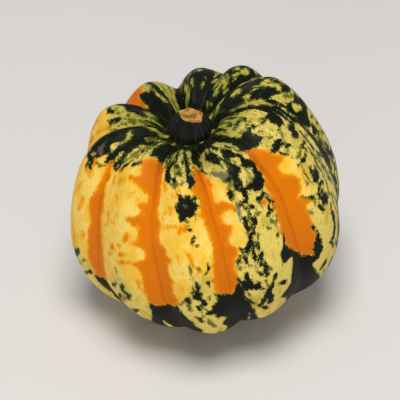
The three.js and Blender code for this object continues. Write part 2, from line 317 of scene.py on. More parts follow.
# Rib C, at the front.
RIB_C = marks(2, (
    "dark",
    [(9, 54), (12, 51.5), (16, 48.5), (21, 46.3), (25, 44.8), (30, 45.3), (30, 47.5), (27, 49.5), (25, 52),
     (22, 54.5), (18, 53), (14, 55)],
    [(11, 53, 6), (12, 57, 6), (14, 60.5, 5), (20, 63.5, 4)],
    [(23, 52, 6), (27, 56, 7), (33, 59.5, 8), (39, 62, 6)], [(35, 55.5, 5), (38, 58, 7), (43, 60.3, 6)],
    [(5, 73), (5, 66), (15, 65), (28, 63.8), (40, 63.3), (45, 64.3), (52, 64.5), (56, 63), (62, 63.3),
     (70, 64), (76, 66), (80, 73)],
    [(56, 62, 5), (62, 60, 9), (64, 57.5, 10)], [(61, 58.5, 8), (64, 56, 14), (67, 54, 10)],
    [(58, 56.8, 5), (57, 55.3, 5)], [(66, 52.8, 9), (66, 50.3, 13)],
    [(63, 49), (70, 48.5), (77, 47), (80, 44.8), (75, 42.5), (68, 42.3), (66, 44), (63, 46)],
    [(78, 52.5), (81, 54), (79, 57), (77, 59.5), (79, 62.5), (76, 66), (74, 73), (104, 73), (103, 65),
     (101, 60), (101, 56), (99, 53), (93, 52), (87, 54.5)],
    [(39, 54, 4), (45, 53.5, 6)], [(41, 49.9, 6), (47, 50.2, 7), (53, 49.6, 7)],
    [(37, 47.3, 7), (38.5, 46, 7)],
    [(47, 39.5), (50, 39.6), (53, 38), (57, 37.5), (60, 38.8), (65, 38.8), (67, 37), (70, 35.2), (74, 34.5),
     (77, 33.5), (74, 32.5), (71, 31), (68, 29.5), (64, 28.5), (60, 27.7), (57, 28.5), (53, 27.8),
     (49, 26.8), (46, 27.2), (45, 28.5), (47, 30.5), (43, 31), (42, 33), (43, 35.5), (47, 36.3)],
    [(57, 22.8, 5), (59, 22.5, 4)], [(72, 37, 5), (78, 37, 5)], [(62, 17.8, 7), (59, 15.8, 7)],
    [(73, 0.5, 5), (68, -1.8, 6)], [(52, -5, 5), (54, -7.5, 7), (53, -9.5, 6)],
    [(49, -6.5, 4), (46, -11, 6)],
    [(50, -9.5), (55, -9.3), (57, -12), (56, -14), (52, -15), (46, -14.7), (43, -14), (46, -10.5)],
    [(55, -14, 6), (57, -17.8, 7)], [(67, -6.8, 6), (67, -8.8, 7)], [(39, -13.5, 6), (35, -16.3, 10)],
    [(46, -18.5, 5), (48, -20, 7)], [(41, -25, 7), (44, -26.5, 12), (47, -28.3, 10)],
    [(73, -14), (75, -17), (74, -19), (68, -20), (64, -22), (58, -22), (57, -24), (66, -25.3), (68, -27.5),
     (72, -28.7), (79, -29.5), (79, -32), (72, -33), (71, -35), (76, -39), (78, -46), (100, -52),
     (110, -46), (110, -40), (113, -35), (116, -33), (112, -30), (112, -20), (110, -11.5), (106, -15.5),
     (102, -18.5), (96, -20.5), (90, -19.5), (83, -17.3)],
), (
    "olive",
    [(17, 52.5, 6), (20, 50, 9), (23, 47.5, 5)], [(20, 60, 5), (18, 57, 6)], [(38, 67, 5), (42, 64.5, 6)],
    [(70, 58.5, 6), (73, 55, 8)], [(74, 51.5, 5), (78, 49, 6)],
    [(34, 52.5), (33, 54), (38, 54.8), (45, 54.2), (50, 52.5), (57, 51.8), (55, 50.3), (50, 51), (44, 51.7),
     (40, 51.2)],
    [(38, 50.5, 8), (50, 49.3, 8)], [(30, 44.7, 5), (40, 44.3, 8), (48, 44.6, 5), (60, 45.3, 8)],
    [(40, 44.2, 9), (42, 43, 9)], [(56, 27.5, 11), (58, 25.5, 10), (57, 23.5, 4)],
    [(70, 29, 5), (68, 26.5, 8)], [(73, 32, 4), (77, 32.2, 4)], [(63, 13.7, 6), (64, 13.4, 6)],
    [(59, 3, 6), (61, 1.7, 6)], [(49, 3.5, 4), (49, -3.7, 6)], [(73, 3.5, 6), (72, 1.5, 5)],
    [(36, -17, 11), (33, -21.5, 12)], [(29, -17.5, 6), (22, -19.3, 5)], [(50, -18.8, 6), (50, -25, 5)],
    [(54, -19.5, 6), (57, -21, 6)], [(63, -14, 5), (64, -15.5, 5)],
    [(56, -27, 5), (57, -29.5, 11), (60, -34.5, 10)],
), (
    "pale",
    [(30, 66, 2), (34, 63.8, 5)],
), (
    "orange",
    [(47, 25, 3), (44, 22.5, 5), (42, 21, 4)], [(52, 25, 6), (50, 22, 7)], [(57, 14.5, 3), (61, 14, 3)],
    [(50, 9.5, 3), (52, 6, 3), (56, 3, 3), (61, 0, 3)], [(75, -6.5, 7), (74, -8, 6)],
), (
    "amber",
    [(72, 29, 8), (78, 27.5, 9)], [(38, 39, 10), (44, 41.5, 10)], [(15, 45.5, 13), (22, 42, 12)],
    [(31, 33, 11), (31, 30.5, 10)], [(20, 30.3, 7), (18, 27.8, 9)], [(27, 24, 10), (38, 24.5, 9)],
    [(54, 25, 8), (46, 22, 10)], [(45, 12, 4), (46, 10, 4)], [(35, 9, 5), (37, 4, 6)],
    [(54, 1, 6), (55, -2, 4)], [(46, -6.5, 5), (45, -8, 5)],
), (
    # A grey painted sheen: painted highlights on the skin.
    "smudge",
    [(5, 61, 3), (4, 57, 6), (6, 53.5, 4)],
), (
    "scar",
    [(54, 34.6, 8), (57, 34.2, 8)],
))

# Rib D, at the front right.
RIB_D = marks(3, (
    "dark",
    [(-5, 50), (-3, 52), (0, 52.5), (4, 50.5), (8, 46.8), (2, 48)],
    [(0, 73), (0, 66), (5, 62.5), (12, 61.3), (25, 62), (35, 61), (42, 60), (46, 61.5), (55, 62.5),
     (70, 61.5), (85, 60), (102, 59.5), (102, 73)],
    [(14, 58), (20, 59.3), (30, 58.3), (36, 57.5), (40, 56), (40, 53), (38, 50.5), (33, 49.7), (27, 51),
     (26, 53), (19, 53.7), (15, 55.5)],
    [(42, 60, 6), (48, 58, 8), (52, 56, 8), (53, 54, 12), (52, 51.5, 12)],
    [(54, 57), (62, 56), (68, 54.8), (74, 53.3), (75, 51), (80, 50), (86, 49), (86, 46.5), (82, 47),
     (76, 48), (67, 49.7), (58, 50.3), (52, 49.5), (47, 50)],
    [(43, 51.5), (50, 51), (51, 48.8), (55, 47), (60, 45.8), (63, 44), (64, 42.3), (60, 41), (55, 41.3),
     (52, 40), (54, 37.5), (52, 35.3), (48, 35), (45, 37.3), (43, 40), (41, 42), (42, 45), (45, 48)],
    [(44, 48.8, 4), (45, 46.8, 5)], [(75, 57.5, 4), (80, 55.5, 6), (90, 54, 5)],
    [(66, 44.3, 6), (71, 43.4, 7)], [(47, 42, 11), (43, 38.5, 14), (42, 36, 10)],
    [(33, 41.2, 6), (39, 41, 9)], [(77, 30.5, 16), (86, 31.5, 18), (92, 34, 10)],
    [(68, 30.3, 8), (66, 31.5, 5)], [(33, 35.5, 6), (30, 34, 11), (29, 31.8, 10)],
    [(46, 35.5, 9), (51, 33, 12), (51, 30, 11), (48, 28.3, 11), (40, 27.7, 9)],
    [(42, 27, 5), (44, 22.5, 5), (46, 18, 6)],
    [(77, 46.5), (79, 48.3), (83, 47), (84, 45.3), (90, 44.7), (95, 44), (95, 40), (92, 38), (95, 34),
     (92, 31.3), (86, 28.7), (80, 28.3), (71, 28.7), (67, 30), (70, 31.3), (64, 31.6), (55, 32.8),
     (52, 30.5), (50, 35.5), (54, 33.8), (60, 34.6), (67, 33.6), (72, 34.6), (78, 34.6), (81, 35.7),
     (81, 38), (84, 39.5), (80, 41), (75, 41.2), (70, 41.7), (70, 43.5)],
    [(51, 24.3, 8), (53, 23.8, 9)], [(65, 25.6, 6), (70, 25.3, 8), (77, 26, 7)],
    [(79, 23, 5), (81, 20, 8), (75, 18, 8), (78, 15.5, 8), (84, 15.3, 6)], [(85, 18.7, 6), (87, 18.7, 5)],
    [(70, 15.7, 7), (75, 15.5, 7)], [(37, 20.3, 8), (36, 17, 10), (38, 13.3, 7)],
    [(48, 18.5, 8), (49, 15.5, 10)], [(43, 15, 7), (42, 10.8, 8)], [(38, 10, 7), (35, 7, 8)],
    [(47, 9, 6), (44, 5.5, 9), (42, 1.5, 7)], [(33, 6.3, 9), (29, 4, 13), (28, 1.8, 10)],
    [(21, 5, 5), (21, 3, 6)], [(37, 6, 5), (35, 2, 6), (34, -3, 7)], [(24, -0.5, 6), (23, -3, 8)],
    [(27, -5.3, 5), (28, -5.7, 5)], [(18, 0.7, 5), (14, -3.5, 9)],
    [(45, -0.8, 10), (42, -3.5, 14), (39, -6.3, 9)], [(19, -9.5, 7), (20, -11.5, 12), (20, -13.5, 10)],
    [(36, -10.3, 5), (37, -12, 6)], [(46, -6.5, 8), (45, -9, 10), (44, -12.8, 8)],
    [(11, -13.5), (18, -14), (24, -12.8), (26, -15), (33, -15.3), (34, -17), (36, -19.7), (31, -19),
     (26, -19.8), (22, -18.5), (16, -18.3), (11, -20)],
    [(56, -14.8, 6), (52, -16.8, 9), (47, -20, 9), (41, -22, 13), (36, -25, 11), (28, -29.3, 11)],
    [(43, -22, 10), (42, -25.5, 13), (42, -29.5, 10)], [(13, -24, 7), (16, -26, 8), (19, -28, 5)],
    [(34, -31.3, 9), (36, -33.5, 10)], [(61, -21.3, 7), (67, -22.3, 9)], [(74, 2.8, 6), (74, 1, 5)],
    [(84, 0.5), (79, -3.5), (74, -6), (70, -9), (68, -13.5), (75, -12.6), (85, -13.4), (88, -14.3),
     (86, -18), (81, -22), (77, -26), (70, -27.7), (60, -29.5), (61, -31), (70, -34), (75, -42), (100, -52),
     (135, -42), (125, -37), (120, -33), (115, -28), (112, -24.5), (120, -23.5), (126, -19), (124, -12),
     (121, -5.5), (119, -6.5), (122, -11), (118, -14), (115, -20.5), (109, -19.3), (103, -19), (100, -15),
     (90, -12), (85, -8.5), (82, -5)],
), (
    "olive",
    [(36, 56, 5), (38, 53.5, 7), (40, 51.5, 7)], [(24, 60, 5), (32, 59.2, 7), (38, 58.6, 5)],
    [(55, 58, 5), (65, 56.8, 8), (70, 55.8, 5)], [(60, 53.5, 7), (66, 51.5, 8)], [(86, 52, 9), (92, 49, 7)],
    [(62, 47, 5), (66, 46.3, 5)], [(58, 34.8, 7), (62, 36, 8)], [(62, 31.5, 7), (70, 32.3, 7)],
    [(31, 37, 7), (37, 38.3, 12)], [(36, 35.5, 7), (34, 33, 8)], [(45, 36, 5), (47, 32, 5)],
    [(46, 25, 5), (46, 20, 5)], [(65, 33.2, 7), (72, 33.2, 7)], [(74, 30, 9), (80, 30.5, 7)],
    [(64, 25, 7), (66, 21, 5)], [(52, 20, 7), (58, 19.3, 7)], [(71, 11.5, 11), (74, 10.3, 7)],
    [(77, 13.5, 5), (83, 11.5, 8), (80, 9.5, 7)], [(63, 9, 7), (66, 8, 5)], [(42, 20, 8), (42, 15, 12)],
    [(34, 12.5, 5), (34, 11, 5)], [(22, 1.5, 7), (25, 3, 9)], [(12, -4.5, 8), (14, -7, 9)],
    [(18, -6, 7), (18, -7, 5)], [(48, -10, 8), (52, -11.5, 7)], [(41, -15.5, 9), (42, -20, 12)],
    [(16, -21, 7), (17, -22.3, 7)],
), (
    "pale",
    [(50, 58, 4), (51.5, 56.5, 7)], [(43, 55.3, 4), (45, 53.2, 9), (46, 51.5, 4)],
    [(114, -24.5, 3), (114, -26.3, 6)], [(13, -36, 6), (12, -44, 9)],
), (
    "orange",
    [(69, 23.5, 6), (72, 21.8, 14), (76, 21, 6)],
), (
    "amber",
    [(78, 11.5, 6), (80, 10.7, 4)],
), (
    # A grey painted sheen: painted highlights on the skin.
    "smudge",
    [(70, 40.5, 10), (72, 38.5, 10)], [(13, 47.3, 9), (20, 46.4, 14)],
    [(26, 45, 14), (33, 43, 22), (42, 42.5, 23)], [(30, 43, 9), (40, 40, 8)],
    [(37, 49.5, 6), (38, 47.8, 8)], [(35, 30, 6), (33, 26.5, 8), (31, 19.5, 5)],
    [(69, 36.5, 10), (73, 35.8, 10)], [(90, 34.5, 7), (92, 32, 7)], [(80, 25, 8), (83, 22.5, 10)],
    [(57, 22, 7), (57, 19.5, 5)], [(76, 8, 7), (77, 4, 6)], [(33, -6, 9), (33, -10, 7)],
))

# Rib E, at the right.
RIB_E = marks(4, (
    "dark",
    [(0, 49.5), (-1, 57), (0, 66), (12, 66), (11, 60), (12, 56), (17, 54.7), (25, 54.7), (30, 53.7),
     (40, 53.5), (45, 51), (35, 52.2), (26, 51.5), (27, 50.5), (30, 49), (29, 46), (22, 45.3), (15, 45.3),
     (12, 47), (6, 47.5)],
    [(0, 49.8, 10), (6, 48, 11), (13, 47, 8)], [(36, 60.5, 5), (43, 59.5, 7)], [(35, 62.5, 5), (38, 65, 6)],
    [(38, 51.5, 5), (42, 52.8, 6)], [(47, 56.8, 4), (52, 57.2, 6), (57, 57.3, 4)],
    [(42, 63, 4), (47, 67, 7), (50, 72, 10)], [(60, 62, 4), (65, 66, 8), (70, 72, 10)],
    [(75, 61, 6), (80, 65, 10), (85, 72, 12)], [(24, 64, 5), (28, 68, 7), (30, 73, 10)],
    [(50, 49.5), (60, 48.8), (72, 48), (78, 47.2), (84, 46.6), (87, 50), (93, 54), (93, 60), (102, 62),
     (107, 56), (104, 50), (103, 44), (98, 36), (97, 31), (93, 29.8), (90, 31.3), (85, 30.7), (80, 31),
     (78, 29.2), (70, 28.8), (66, 31), (63, 32.3), (70, 33.2), (70, 35), (77, 35.3), (83, 34), (88, 34),
     (85, 37), (81, 38.6), (76, 38), (70, 39.5), (62, 39.7), (52, 41.2), (60, 41.5), (70, 42), (64, 43.5),
     (63, 45.5), (70, 46.8), (60, 47.5)],
    [(84, 27, 5), (82, 18, 6), (83, 9, 7), (82, 0, 7), (81, -7, 5)], [(74, 20, 2), (75, 10, 4), (74, 1, 3)],
    [(21, 38.5), (24, 39.8), (33, 40), (40, 39.7), (47, 37.5), (43, 38.3), (40, 37.7), (46, 35.6),
     (38, 36.7), (30, 36.3), (25, 37)],
    [(42, 34.2, 5), (47, 32.7, 6)], [(30, 34.5, 4), (33, 32.5, 6), (36, 31, 4)],
    [(63, 25.7, 5), (70, 24.3, 9), (75, 23.3, 6)], [(43, 23.6, 4), (50, 21.8, 10), (57, 22.5, 9)],
    [(64, 25.5, 8), (65, 22, 10)], [(73, 21, 5), (70, 17, 8), (66, 12, 6)],
    [(50, 17.3, 9), (47, 15, 10), (45, 13.3, 7)],
    [(42, 11.5), (46, 13.6), (52, 14.2), (58, 13), (60, 10.8), (56, 9.2), (50, 8.8), (44, 9.4)],
    [(29, 8, 4), (33, 6.5, 8)], [(40, 2.6, 8), (42, 5, 12), (48, 7, 13), (55, 6.4, 10), (59, 4.3, 7)],
    [(46, 6, 10), (48, 3, 10)],
    [(42, 1.8), (48, 2), (53, 0), (53, -2.8), (48, -3.6), (43, -2.6), (41, -0.4)],
    [(35, 0.1, 7), (38, -3.3, 9)], [(80, 4, 4), (86, 1, 6)], [(76, -1.3, 6), (83, -4.5, 9)],
    [(84, 15, 3), (90, 8, 6), (93, 5.5, 4)],
    [(52, -6.3, 7), (50, -9, 13), (50, -14, 13), (48, -17.5, 14), (43, -19.3, 14), (38, -20.3, 15),
     (40, -24, 8)],
    [(70, -8, 6), (72, -14, 9), (70, -20, 7)], [(28, -27, 8), (27, -29, 11), (23, -31, 7)],
), (
    "olive",
    [(15, 49.5, 7), (16, 47, 9), (22, 47.8, 7)], [(23, 56, 7), (29, 56, 8)], [(28, 60, 9), (36, 58.7, 8)],
    [(48, 60, 11), (52, 58.5, 11)], [(54, 54.5, 5), (57, 53.8, 5)], [(36, 49, 7), (40, 47.5, 7)],
    [(35, 44.5, 5), (37, 43, 7)], [(36, 55.5, 5), (43, 55, 8)], [(60, 50.5, 8), (66, 49, 11), (70, 47, 8)],
    [(55, 63, 7), (60, 58, 8)], [(88, 49, 8), (93, 46, 9), (92, 40, 8), (90, 36, 7)],
    [(36, 30.5, 5), (38, 28, 5)], [(41, 26.5, 7), (50, 26, 12), (59, 26.5, 8)],
    [(36, 24, 8), (42, 23.3, 8)], [(40, 22, 5), (38, 19, 9), (39, 14, 7), (42, 9.5, 5)],
    [(20, 11.3, 5), (26, 8.7, 7), (30, 7.5, 8)], [(34, 6, 9), (37, 5.8, 9), (45, 3.8, 7)],
    [(63, 6, 8), (65, 1, 12), (60, -2, 9), (64, -7, 8)], [(58, 14, 7), (66, 10, 9), (68, 4, 8)],
    [(34, 4.5, 8), (31, 2.5, 9)], [(55, -1.2, 7), (63, -4.7, 9), (70, -9.7, 11)],
    [(80, 16, 7), (88, 9, 8), (95, 4, 8)], [(72, 8, 5), (80, 3, 7)],
    [(85, -2, 7), (95, -6, 9), (98, -12, 11)], [(60, -8, 8), (62, -15, 11), (60, -22, 8)],
    [(43, -20, 5), (48, -26, 9)], [(30, -33, 7), (33, -37, 8)],
), (
    "pale",
    [(90, 45, 2), (88, 43.5, 4), (84, 38, 4), (81, 34, 3)], [(96, 42, 2), (93, 37, 4), (90, 32, 3)],
), (
    "orange",
    [(44.5, 5, 5), (46, 4, 5)],
), (
    # A grey painted sheen: painted highlights on the skin.
    "smudge",
    [(53, 49, 6), (65, 48, 7)], [(58, 39.5, 6), (50, 37.5, 9), (42, 35, 8), (35, 33, 6)],
    [(40, 35, 7), (40, 32.5, 8)], [(33, 18, 4), (35, 13, 6)],
    [(76, 26), (88, 24), (97, 21), (95, 19), (85, 21), (80, 22)], [(22, 2, 8), (25, -0.5, 8)],
), (
    "scar",
    [(82, 39, 2), (84, 33, 3)],
))

# Rib F, at the right and further back.
RIB_F = marks(5, (
    "dark",
    [(6, 64), (12, 57), (10, 52), (6, 46), (5, 38), (5, 30), (12, 28.5), (20, 28), (28, 26.3), (31, 27.5),
     (27, 31), (33, 33), (42, 32.5), (60, 33), (72, 38), (78, 46), (72, 56), (65, 64), (40, 69), (20, 69)],
    [(5, 31), (15, 31), (20, 28), (30, 27), (27, 31), (33, 33), (42, 32.5), (46, 29), (46, 25.5),
     (40, 22.5), (33, 23), (25, 21.5), (18, 18.5), (10, 18.5), (5, 22)],
    [(52, 33.5, 6), (54, 31.5, 7)], [(5, 8, 9), (7, 2, 16), (9, -4, 17), (9, -9, 10)],
    [(12, 15, 12), (14, 13, 11)], [(10, 8.5, 6), (13, 6.5, 8)], [(28, 19.5, 5), (35, 17.5, 7)],
    [(33, 13.5, 5), (41, 10.5, 9)], [(24, 2.5, 7), (26, -1, 9)], [(22, -8, 6), (20, -12, 9)],
    [(12, -12, 7), (15, -19, 11)], [(40, 0, 6), (47, -6, 9)], [(68, 34, 7), (70, 28, 9), (66, 22, 6)],
    [(8, -20, 7), (12, -29, 12)],
), (
    "pale",
    [(37, 63.5, 12), (37, 61.3, 15)], [(19, 58.3, 10), (20, 56.5, 11)],
    [(25, 56.5), (30, 56), (36, 53), (42, 52), (45, 49), (44, 46), (38, 45.5), (38, 43.5), (34, 41.8),
     (27, 41.5), (25, 43), (29, 45.5), (31, 48.5), (30, 52)],
    [(11, 47.3), (16, 46.8), (20, 44.3), (25, 41.5), (30, 39), (34, 36.8), (43, 36.3), (46, 39), (48, 44),
     (55, 44), (55, 38), (50, 34), (42, 33), (35, 33.5), (28, 33.5), (20, 35.3), (14, 37.3), (10, 39.5),
     (10, 42), (13, 43)],
    [(19, 34.8), (23, 32), (30, 28.8), (28, 27), (21, 28.3), (13, 29.3), (12, 31.5), (15, 33.3)],
    [(62, 58, 6), (63, 50, 12), (60, 43, 8)],
    [(2, 63.5, 4), (4, 60, 7), (5, 56.5, 9), (7, 53.5, 13), (6, 49.5, 13), (3, 46, 8), (2, 43.5, 4)],
    [(4, 42, 2), (5, 39, 5), (3, 34, 5), (2, 29, 3)], [(3, 24, 2), (4, 20, 5), (3, 16, 3)],
), (
    "dark",
    [(2, 20, 4), (3, 14, 9), (4, 9, 6)],
), (
    "olive",
    [(52, 66, 5), (50, 61, 9), (49, 56, 8), (48, 51, 5)], [(27, 64, 5), (25, 60, 7), (30, 57.5, 5)],
    [(10, 66, 5), (10, 62, 8), (12, 58, 6)], [(20, 66, 7), (18, 63, 9), (16, 60, 5)],
    [(36, 49, 7), (39, 45, 9), (36, 42.5, 7)], [(22, 40, 7), (28, 36.5, 10), (33, 34.5, 8)],
    [(50, 42, 5), (48, 38, 5)], [(70, 52, 8), (70, 44, 10)], [(10, 13, 5), (12, 9, 8)],
    [(33, 8, 7), (40, 3, 9)], [(20, 17.5, 9), (22, 14.5, 10)], [(25, 11, 8), (27, 7, 12)],
    [(16, 3, 9), (18, -2, 12), (18, -8, 10)], [(26, -14, 9), (25, -20, 10)], [(20, -1, 7), (27, -5, 10)],
    [(10, -12, 5), (9, -17, 8)],
), (
    "pale",
    [(48, 46, 5), (47, 41, 7), (47, 37, 7), (45, 33, 6), (42, 30, 5)],
    [(56, 60, 3), (54, 56, 5), (54, 50, 5)],
), (
    # A grey painted sheen: painted highlights on the skin.
    "smudge",
    [(50, 64, 4), (48, 60, 7), (48, 55.5, 5)],
))

# Rib G, at the back right.
RIB_G = marks(6, (
    "dark",
    [(0, 62), (10, 67), (50, 70), (95, 68), (92, 58), (80, 50), (72, 42), (60, 38), (40, 40), (20, 41),
     (6, 44), (4, 52)],
    [(22, 40, 6), (28, 36, 12), (30, 30, 12)],
), (
    "pale",
    [(45, 48, 5), (48, 50.5, 9), (48, 53.3, 5)], [(33, 48.6, 18), (34, 46, 19)],
    [(47, 64), (50, 60.5), (45, 57.8), (34, 56.8), (25, 57.5), (24, 61), (30, 62.5), (35, 61.4), (38, 61.6),
     (40, 63.5)],
    [(44, 43, 6), (42, 38.5, 10)], [(58, 65, 3), (58, 62, 7), (61, 58, 5)], [(63, 56.5, 7), (65, 53.5, 8)],
    [(10, 67.5, 4), (0, 70, 12), (-8, 72.5, 11)], [(12, 46, 4), (15, 41, 9), (20, 35, 8)],
), (
    "olive",
    [(22, 57.3, 10), (26, 55.3, 10)], [(24, 61, 6), (26, 63.5, 5)], [(36, 44, 9), (34, 42, 9)],
    [(75, 60, 6), (78, 52, 9), (76, 46, 6)],
), (
    # A grey painted sheen: painted highlights on the skin.
    "smudge",
    [(58, 68.3, 6), (58, 66.8, 6)],
))

# Rib H, at the back.
RIB_H = marks(7, (
    "dark",
    [(0, 68), (30, 71), (60, 71), (88, 70), (90, 60), (90, 50), (80, 42), (60, 38), (30, 38), (10, 43),
     (3, 50)],
), (
    "olive",
    [(90, 66, 7), (87, 70, 8)], [(92, 60, 4), (92, 50, 8), (90, 42, 8)], [(65, 53, 7), (63, 49, 8)],
    [(34, 58.5, 5), (33, 56, 7)], [(20, 55.8, 7), (20, 53.6, 8)], [(36, 64, 4), (34, 61, 6)],
    [(30, 47, 6), (34, 42, 8)],
), (
    "pale",
    [(79, 53.5, 11), (78, 57, 19), (74, 60.5, 17)],
    [(58, 62), (65, 60.8), (78, 60.3), (87, 62), (88, 65.5), (80, 67.8), (70, 67.3), (62, 65.5)],
    [(57, 55.5, 5), (56, 58.5, 10), (52, 61.3, 6)], [(47, 48.8, 8), (46, 46.6, 10)],
    [(3, 49.3, 9), (5, 52.6, 9)], [(12, 44, 6), (16, 38, 9)],
))

# Rib I, at the back left.
RIB_I = marks(8, (
    "dark",
    [(0, 72), (17, 72), (16, 66), (13, 60), (10, 53), (6, 47), (0, 44)],
    [(42, 72), (43, 60), (42, 50), (44, 42), (48, 38), (50, 44), (53, 52), (60, 52), (63, 49.5), (68, 50.5),
     (72, 48.5), (76, 46.5), (82, 48.5), (85, 51), (90, 54), (99, 56), (100, 72)],
), (
    "olive",
    [(20, 58, 4), (18, 51, 7), (17, 45, 6)], [(34, 66, 4), (35, 59, 5), (33, 50, 4)],
    [(66, 66, 4), (65, 61, 5), (63, 56, 5)],
), (
    "pale",
    [(55, 66, 3), (57, 62, 6), (58, 58, 5), (56, 53, 8), (54, 46, 10), (50, 36, 10)],
    [(64, 53, 6), (63, 49, 10)],
))

# Rib J, at the left and further back.
RIB_J = marks(9, (
    "dark",
    [(0, 74), (80, 74), (77, 71), (70, 69), (66, 67.5), (70, 65), (74, 62.5), (71, 60), (65, 58.8),
     (61, 55.7), (54, 55.5), (50, 54), (46, 51), (40, 49), (30, 46), (20, 44), (10, 50)],
    [(78, 63.5, 4), (82, 66.5, 7), (84, 70, 6)], [(54, 47, 10), (58, 46.5, 8)],
    [(63, 48.8, 9), (60, 47.8, 6)], [(73, 56, 5), (74, 56.6, 5)],
    [(76, 44.7), (77, 47), (76, 49), (75, 51.5), (79, 52), (84, 50.8), (83, 48.5), (84, 46.5), (82, 44.5)],
), (
    "olive",
    [(66, 64, 3), (69, 67, 5), (72, 70.5, 4)], [(58, 50, 5), (56, 52, 5)], [(85, 50.5, 7), (87, 53, 7)],
    [(79, 55.5, 6), (83, 57.5, 9)], [(80, 60.5, 8), (84, 62.5, 10), (88, 65, 7)],
    [(66, 53, 5), (68, 51, 4)],
), (
    "pale",
    [(57, 64, 3), (59, 66.5, 6), (61, 69.5, 4)],
), (
    "orange",
    [(10, 55, 20), (25, 60, 12), (40, 63.5, 6)], [(79, 30, 5), (80, 27, 8)],
), (
    "amber",
    [(86, 44, 8), (86, 40, 9), (80, 35, 8)], [(60, 38, 10), (65, 30, 10)],
))

# The corky button where the flower fell off.
BLOSSOM_SCAR = marks(0, ("scar", [(0, -89.6, 36), (500, -89.6, 36)]))

# The olive streaks that run in to the stem between the dark ones: how far round each is in ribs, how
# many degrees it reaches below STEM_STREAK_FOOT, and half its width at its foot in mm.
STEM_STREAKS = [
    (9.93, 3, 0.8), (9.72, 1.5, 0.5), (0.32, 2, 0.5), (0.62, 3, 0.5), (1.38, 3, 0.5), (1.6, 2, 0.4),
    (2.55, 3, 0.7), (3.15, 2, 0.5), (3.62, 4, 0.7), (4.18, 3, 0.5), (4.36, 4, 0.6), (4.58, 3, 0.6),
    (5.12, 2, 0.4), (5.6, 4, 0.7), (6.05, 4, 0.7), (6.45, 2, 0.4), (7.72, 4, 0.8), (7.9, 3, 0.7),
    (8.1, 3, 0.5), (8.3, 5, 0.9), (8.55, 2, 0.4),
]
STEM_STREAK_TOP = 76
STEM_STREAK_FOOT = 70
STEM_STREAK_TAPER = 0.6  # its width at the top, as a share of that at its foot

# ---- The mottling of the ribs at the back and of the underside, where no mark needs its own place ----

MOTTLING_SEED = 11

# Which ribs are streaked, counted from rib A, with the latitude that each one's streaks start below, and
# the latitude that they all start above. Every rib is streaked underneath, between the last two.
STREAKED_RIBS = ((4.35, -8), (5, 25), (6, 34), (7, 36), (8, 40), (9, 14))
LOWEST_STREAK = -40
UNDERSIDE = (-34, -78)
STREAKS_PER_RIB = 46
STREAKS_UNDER_RIB = 16

# A streak: how far from its rib's crown it may start, in ribs, its length in degrees, half its width
# in mm, and how many ribs it may drift in a degree. On the crown its length and width are only the
# last two shares of that, and they grow towards the furrows.
STREAK_SPREAD = 0.46
STREAK_LENGTH = (2, 9)
STREAK_WIDTH = (0.3, 1.2)
STREAK_DRIFT = 0.0125
CROWN_LENGTH = 0.6
CROWN_WIDTH = 0.7

# The pale and olive flecks on the dark shoulders of two ribs at the back: where across the rib and
# between which latitudes they start, half their width in mm, their length in degrees and their drift.
FLECKED_RIBS = (6, 7)
FLECKS_PER_RIB = 30
FLECK_ACROSS = (0.1, 0.9)
FLECK_LATITUDE = (42, 66)
FLECK_WIDTH = (0.3, 0.8)
FLECK_LENGTH = (1, 4)
FLECK_DRIFT = 0.03

# The green patches: where round the ribs and at which latitudes they set in or fade, their size in mm,
# which is longer along the ribs, and their depth. The gap is taken off that to part them.
GREEN_START = (5.45, 5.75)
GREEN_END = (8.9, 8.6)
GREEN_TOP = (48, 38)
GREEN_SIZE = (6.5, 6.5, 10)
GREEN_DEPTH = 8
GREEN_GAP = 0.8


def furrow_marks():
    """The dark green along each furrow."""
    return [
        ("dark", [(n, FURROW_DARK_TOP - MERIDIAN_STEP * i, width) for i, width in enumerate(widths)])
        for n, widths in enumerate(FURROW_DARK)
    ]


def stem_streaks():
    """The olive streaks around the stem."""
    return [
        (
            "olive",
            [
                (ribs_round, STEM_STREAK_TOP, width * STEM_STREAK_TAPER),
                (ribs_round, STEM_STREAK_FOOT - length, width),
            ],
        )
        for ribs_round, length, width in STEM_STREAKS
    ]


def streak(chance, n, highest, lowest):
    """One short dark or olive streak somewhere on a rib."""
    across = chance.uniform(-STREAK_SPREAD, STREAK_SPREAD)
    latitude = chance.uniform(lowest, highest)
    length = chance.uniform(*STREAK_LENGTH) * (CROWN_LENGTH + abs(across))
    width = chance.uniform(*STREAK_WIDTH) * (CROWN_WIDTH + abs(across))
    drift = chance.uniform(-STREAK_DRIFT, STREAK_DRIFT) * length
    ribs_round = n + 0.5 + across
    return chance.choice(("dark", "dark", "olive")), [
        (ribs_round, latitude, width),
        (ribs_round + drift / 2, latitude - length / 2, width * 1.2),
        (ribs_round + drift, latitude - length, width / 2),
    ]


def fleck(chance, n):
    """One short pale or olive fleck on a rib's dark shoulder."""
    ribs_round = n + chance.uniform(*FLECK_ACROSS)
    latitude = chance.uniform(*FLECK_LATITUDE)
    width = chance.uniform(*FLECK_WIDTH)
    paint = chance.choice(("pale", "olive"))
    drift = chance.uniform(-FLECK_DRIFT, FLECK_DRIFT)
    length = chance.uniform(*FLECK_LENGTH)
    return paint, [(ribs_round, latitude, width), (ribs_round + drift, latitude - length, width * 0.8)]


def mottling():
    """The flecks and streaks of the back and of the underside."""
    chance = random.Random(MOTTLING_SEED)
    result = []
    for n in FLECKED_RIBS:
        result += [fleck(chance, n) for _ in range(FLECKS_PER_RIB)]
    for n, highest in STREAKED_RIBS:
        result += [streak(chance, n, highest, LOWEST_STREAK) for _ in range(STREAKS_PER_RIB)]
    for n in range(len(RIBS)):
        result += [streak(chance, n, *UNDERSIDE) for _ in range(STREAKS_UNDER_RIB)]
    return result


MARKS = TURNED + furrow_marks() + BANDS + CREASE_SHADES
MARKS += RIB_A + RIB_B + RIB_C + RIB_D + RIB_E + RIB_F + RIB_G + RIB_H + RIB_I + RIB_J
MARKS += stem_streaks() + mottling() + BLOSSOM_SCAR


# ---- Working out the skin ----


